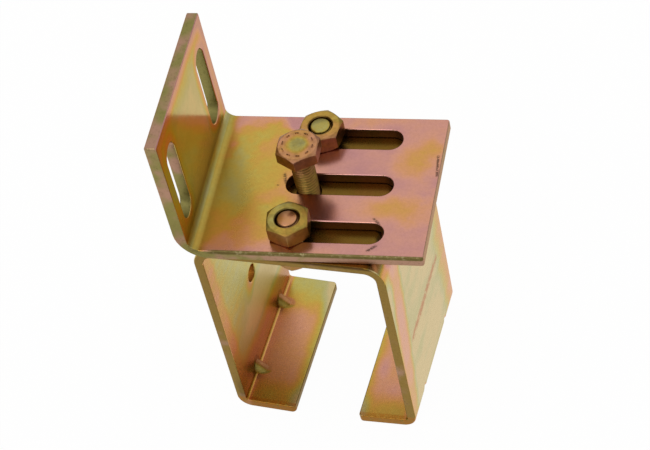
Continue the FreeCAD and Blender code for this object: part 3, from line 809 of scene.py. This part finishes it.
def thread_tree(material):
    """A threaded shank that rises from height 0 to its length, with a bevelled end."""
    made = GeometryTree("Thread")
    long, crest, depth, pitch, tip = (made.size(name) for name in
                                      ("Length", "Crest radius", "Depth", "Pitch", "Tip radius"))
    steps = made.size("Steps", "NodeSocketInt")
    grid = made.link("GeometryNodeMeshGrid", None, {
        "Size X": 1.0, "Size Y": 1.0, "Vertices X": AROUND + 1, "Vertices Y": steps})
    spot = made.link("GeometryNodeInputPosition")
    share, rise = (part + 0.5 for part in made.parts(spot)[:2])
    height = rise * long
    # A whole number of turns keeps what FRACT gets above 0.
    whole_turns = 64.0
    turns = made.math("FRACT", made.math("DIVIDE", height, pitch) - share + whole_turns)
    tooth = made.math("ABSOLUTE", turns * 2.0 - 1.0)
    # The flanks are steeper than a plain V, which leaves a narrow flat at each crest and root.
    steepness = 1.3
    crest_flat = 0.12
    flank = made.math("MINIMUM", made.math("MAXIMUM", tooth * steepness - crest_flat, 0.0), 1.0)
    radius = crest - depth * flank
    bevelled = made.math("MINIMUM", radius, tip + (long - height))
    angle = share * math.tau
    place = made.point(made.math("COSINE", angle) * bevelled, made.math("SINE", angle) * bevelled, height)
    rolled = made.link("GeometryNodeSetPosition", None, {"Geometry": grid, "Position": place})
    disc = made.link("GeometryNodeMeshCircle", {"fill_type": "NGON"}, {"Vertices": AROUND, "Radius": tip})
    raised = made.link("GeometryNodeTransform", None, {
        "Geometry": disc, "Translation": made.point(0.0, 0.0, long)})
    both = made.node("GeometryNodeJoinGeometry")
    made.tree.links.new(raised.socket, both.inputs[0])
    made.tree.links.new(rolled.socket, both.inputs[0])
    merged = made.link("GeometryNodeMergeByDistance", None, {
        "Geometry": Link(made, both.outputs[0]), "Distance": 0.001})
    made.finish_in(merged, material)
    return made


def dash_tree(material):
    """A ring of short plain bars that stand on the top of a bolt's head."""
    made = GeometryTree("Dashes")
    count = made.size("Count", "NodeSocketInt")
    radius, level = (made.size(name) for name in ("Ring radius", "Level"))
    ring = made.link("GeometryNodeMeshCircle", None, {"Vertices": count, "Radius": radius})
    bar = made.link("GeometryNodeMeshCube", None, {"Size": DASH_SIZE})
    spot = made.link("GeometryNodeInputPosition")
    facing = made.link("FunctionNodeAlignRotationToVector", {"axis": "X"}, {"Vector": spot})
    bars = made.link("GeometryNodeInstanceOnPoints", None, {
        "Points": ring, "Instance": bar, "Rotation": facing})
    raised = made.link("GeometryNodeTransform", None, {
        "Geometry": bars, "Translation": made.point(0.0, 0.0, level)})
    made.finish_in(raised, material)
    return made


def shank_mesh(name, sizes, long, material):
    """A threaded shank's mesh about the origin, in millimetres."""
    steps_in_turn = 8
    piece = piece_object(name, bpy.data.meshes.new(name), material)
    thread_tree(material).apply(piece, {
        "Length": long, "Crest radius": sizes.thread_width / 2.0, "Depth": sizes.thread_depth,
        "Pitch": sizes.pitch, "Tip radius": sizes.tip_width / 2.0,
        "Steps": int(long / sizes.pitch * steps_in_turn) + 1})
    return taken_mesh(piece)


def dash_mesh(name, sizes, material):
    """The ring of dashes on a head, about the origin, in millimetres."""
    piece = piece_object(name, bpy.data.meshes.new(name), material)
    dash_tree(material).apply(piece, {"Count": sizes.dash_count, "Ring radius": sizes.dash_ring / 2.0,
                                      "Level": sizes.head_height})
    return taken_mesh(piece)


def joined(name, meshes):
    """One mesh that holds several."""
    shell = bmesh.new()
    for mesh in meshes:
        shell.from_mesh(mesh)
    return mesh_from(shell, name)


def rounded(mesh, material, width):
    """A mesh in millimetres with its sharp edges rounded."""
    piece = piece_object(mesh.name, mesh, material)
    round_edges(piece, width / MM)
    return taken_mesh(piece)


def hex_bolt(node, body, head_up, material, sizes):
    """A bolt that takes a solid's place: its head, which points up or down, its thread and dashes."""
    across, along, low, high = node_middle(node)
    long = high - low - sizes.head_height
    head = rounded(head_mesh(node + "_head", sizes), material, sizes.edge_round)
    dashes = dash_mesh(node + "_dashes", sizes, material)
    shank = shank_mesh(node + "_shank", sizes, long, material)
    shank.transform(Euler((math.pi, 0.0, 0.0)).to_matrix().to_4x4())
    mesh = joined(node + "_made", [head, dashes, shank])
    bearing = high - sizes.head_height if head_up else low + sizes.head_height
    stand(mesh, (across, along, bearing), HEAD_TURN, flipped=not head_up)
    return ridden(piece_object(node + "_zinc", mesh, material), node, body)


def ridden(piece, node, body):
    """Tie a finished piece to its body, in place of its solid."""
    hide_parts(node)
    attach(piece, body)
    return piece


class BRACKET_OT_angle_plate(Operator):
    """Make the angle plate with its slots"""
    bl_idname = "bracket.angle_plate"
    bl_label = "Angle plate"

    def execute(self, context):
        sizes = context.scene.bracket_plates
        material = zinc_material("angle_zinc", context, angle_finish)
        lines = [((0.0, along, 0.0), (0.0, 1.0, 0.0)) for along in SPLIT_ROWS]
        piece = dressed_plate("angle_bracket", "angle_plate", sizes.angle_thick, material,
                              sizes.edge_round, lines)
        ridden(piece, "angle_bracket", "plate")
        return {"FINISHED"}


class BRACKET_OT_track_sleeve(Operator):
    """Make the folded sleeve with its lips and ribs"""
    bl_idname = "bracket.track_sleeve"
    bl_label = "Track sleeve"

    def execute(self, context):
        sizes = context.scene.bracket_plates
        material = zinc_material("sleeve_zinc", context, sleeve_finish)
        turn = Quaternion((0.0, 0.0, 1.0), -sizes.sleeve_turn)
        middle = Vector((sizes.sleeve_place, 0.0, SLEEVE_TOP))
        lines = [(middle, turn @ Vector(way)) for way in ((1.0, 0.0, 0.0), (0.0, 1.0, 0.0))]
        ribs = []
        for side in (-1, 1):
            for row in (-1, 1):
                rib = Vector((RIB_PLACE * side, sizes.rib_pitch / 2.0 * row, -sizes.fold_level))
                ribs.append((middle + turn @ rib) * MM)
        piece = dressed_plate("track_sleeve", "folded_sleeve", sizes.sleeve_thick, material,
                              sizes.edge_round, lines, ribs)
        ridden(piece, "track_sleeve", "sleeve")
        return {"FINISHED"}


class BRACKET_OT_fixing_bolts(Operator):
    """Make the two bolts that come up through the slots"""
    bl_idname = "bracket.fixing_bolts"
    bl_label = "Fixing bolts"

    def execute(self, context):
        sizes = context.scene.bracket_fasteners
        for node, tip_film in (("front_bolt", 0.62), ("rear_bolt", 0.24)):
            across, along, _, high = node_middle(node)
            material = zinc_material(node + "_zinc", context, turned_finish(
                (across, along), high, film=0.5, inner_film=tip_film, thread_top=high - 0.05,
                thread_shade=0.75, clouds=0.3, soiled=0.1))
            hex_bolt(node, "sleeve", False, material, sizes)
        return {"FINISHED"}


class BRACKET_OT_fixing_nuts(Operator):
    """Make the two nuts that stand on the shelf"""
    bl_idname = "bracket.fixing_nuts"
    bl_label = "Fixing nuts"

    def execute(self, context):
        sizes = context.scene.bracket_fasteners
        for node, degrees, film in (("front_nut", -21.4, 0.29), ("rear_nut", -38.5, 0.48)):
            across, along, low, high = node_middle(node)
            low = low + SEAT_GAP
            material = zinc_material(node + "_zinc", context, turned_finish(
                (across, along), high, film, film, side_shade=0.64, side_film=0.08))
            mesh = rounded(nut_mesh(node + "_made", sizes, high - low), material, sizes.edge_round)
            stand(mesh, (across, along, low), math.radians(degrees))
            ridden(piece_object(node + "_zinc", mesh, material), node, "sleeve")
        return {"FINISHED"}


class BRACKET_OT_clamp_bolt(Operator):
    """Make the clamp bolt that stands in the middle slot"""
    bl_idname = "bracket.clamp_bolt"
    bl_label = "Clamp bolt"

    def execute(self, context):
        sizes = context.scene.bracket_fasteners
        across, along, _, high = node_middle("clamp_bolt")
        material = zinc_material("clamp_zinc", context, turned_finish(
            (across, along), high, film=0.66, inner_film=0.3, thread_top=high - sizes.head_height))
        hex_bolt("clamp_bolt", "clamp", True, material, sizes)
        return {"FINISHED"}


class BRACKET_OT_stage(Operator):
    """Make the floor, the light and the camera"""
    bl_idname = "bracket.stage"
    bl_label = "Stage"

    def execute(self, context):
        settings = context.scene.bracket_stage
        make_floor(settings)
        make_sky(context.scene, settings)
        make_camera(context.scene, settings)
        context.scene.view_settings.view_transform = "Standard"
        return {"FINISHED"}


def seen_share(paint):
    """1 on rays that the camera sends and on rays that metal reflects."""
    rays = paint.node("ShaderNodeLightPath")
    return paint.math("MAXIMUM", Link(paint, rays.outputs["Is Camera Ray"]),
                      Link(paint, rays.outputs["Is Glossy Ray"]))


def make_floor(settings):
    """A pale floor under the sleeve's lips, white to the camera, that keeps the shadow."""
    level = CAD_BOX[0].z
    reach = 3.0
    white_share = 0.97
    mesh = bpy.data.meshes.new("floor")
    mesh.from_pydata([(-reach, -reach, level), (reach, -reach, level), (reach, reach, level),
                      (-reach, reach, level)], [], [(0, 1, 2, 3)])
    material = bpy.data.materials.new("floor_paint")
    material.use_nodes = True
    paint = Paint(material.node_tree)
    matt = paint.link("ShaderNodeBsdfDiffuse", None, {"Color": (*settings.floor_colour, 1.0)})
    white = paint.link("ShaderNodeEmission", None, {"Color": (1.0, 1.0, 1.0, 1.0), "Strength": 1.0})
    mixed = paint.link("ShaderNodeMixShader", None, {
        0: seen_share(paint) * white_share, 1: matt, 2: white})
    paint.finish(mixed)
    mesh.materials.append(material)
    floor = bpy.data.objects.new("floor", mesh)
    bpy.context.scene.collection.objects.link(floor)


def make_sky(scene, settings):
    """A soft studio: dim at the horizon, bright above it, with a soft box beside the camera."""
    world = bpy.data.worlds.new("studio")
    world.use_nodes = True
    scene.world = world
    paint = Paint(world.node_tree)
    place = paint.node("ShaderNodeTexCoord")
    way = Link(paint, place.outputs["Generated"])
    height = paint.parts(way)[2]
    overhead = paint.smooth(height, 0.2, 0.55)
    level = settings.rim_level + overhead * (settings.sky_level - settings.rim_level)
    toward_box = paint.vector("DOT_PRODUCT", way, settings.box_way, output=1)
    in_box = paint.smooth(toward_box, 0.92, 0.97)
    level = level + in_box * settings.box_level
    seen = Link(paint, paint.node("ShaderNodeLightPath").outputs["Is Camera Ray"])
    level = level + seen * (1.0 - level)
    back = paint.link("ShaderNodeBackground", None, {"Color": (1.0, 1.0, 1.0, 1.0), "Strength": level})
    paint.node("ShaderNodeOutputWorld", None, {0: back})


def make_camera(scene, settings):
    data = bpy.data.cameras.new("camera")
    data.lens = settings.camera_focal
    data.sensor_width = 36.0
    data.clip_end = 20.0
    camera = bpy.data.objects.new("camera", data)
    scene.collection.objects.link(camera)
    place = Vector(settings.camera_place) * MM
    aim = Vector(settings.camera_aim) * MM
    camera.location = place
    camera.rotation_mode = "QUATERNION"
    facing = (aim - place).to_track_quat("-Z", "Y")
    camera.rotation_quaternion = facing @ Quaternion((0.0, 0.0, 1.0), settings.camera_roll)
    scene.camera = camera


class BRACKET_PT_panel(Panel):
    """Buttons that make the bracket's pieces"""
    bl_label = "Wall Bracket"
    bl_idname = "BRACKET_PT_panel"
    bl_space_type = "VIEW_3D"
    bl_region_type = "UI"
    bl_category = "Wall Bracket"

    def draw(self, context):
        for operator in OPERATORS:
            self.layout.operator(operator.bl_idname)
        for group in GROUPS:
            box = self.layout.box()
            box.label(text=group)
            settings = getattr(context.scene, group)
            for name in settings.bl_rna.properties.keys():
                if name not in ("rna_type", "name"):
                    box.prop(settings, name)


OPERATORS = (BRACKET_OT_angle_plate, BRACKET_OT_track_sleeve, BRACKET_OT_fixing_bolts,
             BRACKET_OT_fixing_nuts, BRACKET_OT_clamp_bolt, BRACKET_OT_stage)
GROUPS = {"bracket_plates": PlateSizes, "bracket_fasteners": FastenerSizes, "bracket_zinc": ZincColours,
          "bracket_stage": StageSettings}


def register():
    for kind in (*GROUPS.values(), *OPERATORS, BRACKET_PT_panel):
        bpy.utils.register_class(kind)
    for name, kind in GROUPS.items():
        setattr(bpy.types.Scene, name, PointerProperty(type=kind))


def unregister():
    for name in GROUPS:
        delattr(bpy.types.Scene, name)
    for kind in (BRACKET_PT_panel, *reversed(OPERATORS), *GROUPS.values()):
        bpy.utils.unregister_class(kind)


def main():
    """Make every piece in turn."""
    register()
    for operator in OPERATORS:
        family, name = operator.bl_idname.split(".")
        getattr(getattr(bpy.ops, family), name)()


if __name__ == "__main__":
    main()
